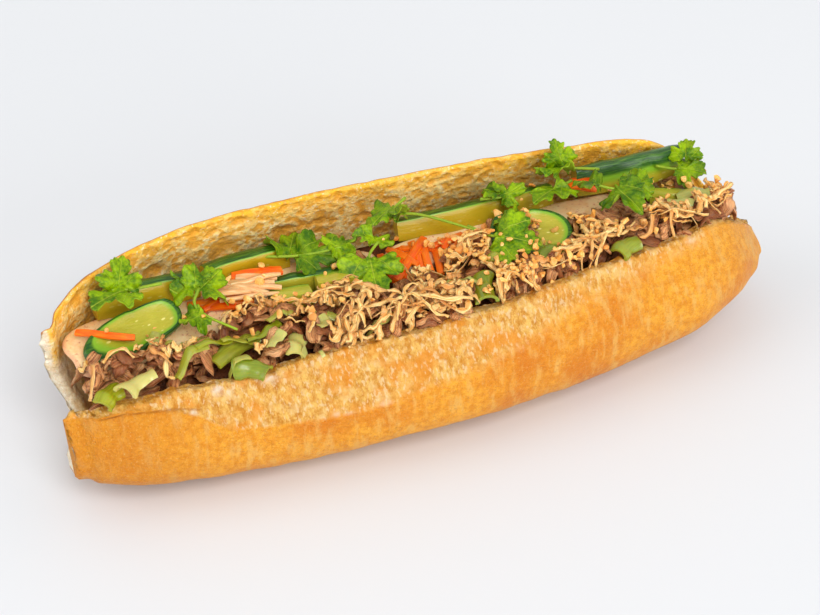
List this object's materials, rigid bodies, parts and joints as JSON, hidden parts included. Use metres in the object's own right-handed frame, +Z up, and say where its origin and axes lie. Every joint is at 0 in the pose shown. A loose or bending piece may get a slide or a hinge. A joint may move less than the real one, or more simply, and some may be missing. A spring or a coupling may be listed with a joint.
{
  "type": "banh mi sandwich",
  "caption": "Long crusty roll split along the top and opened, filled with sliced beef, pork roll, cucumber, pickled carrot and radish, fried shallots, peanuts, spring onion and coriander.",
  "frame": {"origin": "on the flat foot of the loaf, under the middle of its length", "axes": "+X along the loaf towards its right tip, -Y towards the open front side, +Z up"},
  "size_m": [0.28, 0.0937, 0.0741],
  "materials": {
    "bread": "crusty baked bread, golden and slightly glossy outside, pale torn crumb inside",
    "beef_heap": "moist browned sliced beef with fried shallots and crushed peanuts",
    "pork_roll": "pale pink sliced pork roll, smooth and slightly moist",
    "cucumber": "wet cut cucumber, dark green skin and pale green flesh",
    "carrot": "pickled carrot shreds, moist",
    "daikon": "pickled white radish shreds, moist",
    "spring_onion": "softened spring onion, moist",
    "coriander": "fresh coriander leaf, satin"
  },
  "bodies": {
    "root": {"bread": "bread", "beef_heap": "beef_heap", "pork_roll_1": "pork_roll", "pork_roll_2": "pork_roll", "pork_roll_3": "pork_roll", "pork_roll_4": "pork_roll", "cucumber_1": "cucumber", "cucumber_2": "cucumber", "cucumber_3": "cucumber", "cucumber_4": "cucumber", "cucumber_5": "cucumber", "cucumber_6": "cucumber", "cucumber_7": "cucumber", "cucumber_8": "cucumber", "cucumber_9": "cucumber", "cucumber_10": "cucumber", "cucumber_11": "cucumber", "carrot_1": "carrot", "carrot_2": "carrot", "carrot_3": "carrot", "carrot_4": "carrot", "carrot_5": "carrot", "carrot_6": "carrot", "daikon_1": "daikon", "spring_onion_1": "spring_onion", "spring_onion_2": "spring_onion", "spring_onion_3": "spring_onion", "spring_onion_4": "spring_onion", "spring_onion_5": "spring_onion", "spring_onion_6": "spring_onion", "spring_onion_7": "spring_onion", "spring_onion_8": "spring_onion", "spring_onion_9": "spring_onion", "spring_onion_10": "spring_onion", "coriander_1": "coriander", "coriander_2": "coriander", "coriander_3": "coriander", "coriander_4": "coriander", "coriander_5": "coriander", "coriander_6": "coriander", "coriander_7": "coriander", "coriander_8": "coriander", "coriander_9": "coriander", "coriander_10": "coriander", "coriander_11": "coriander", "coriander_12": "coriander"}
  },
  "joints": []
}
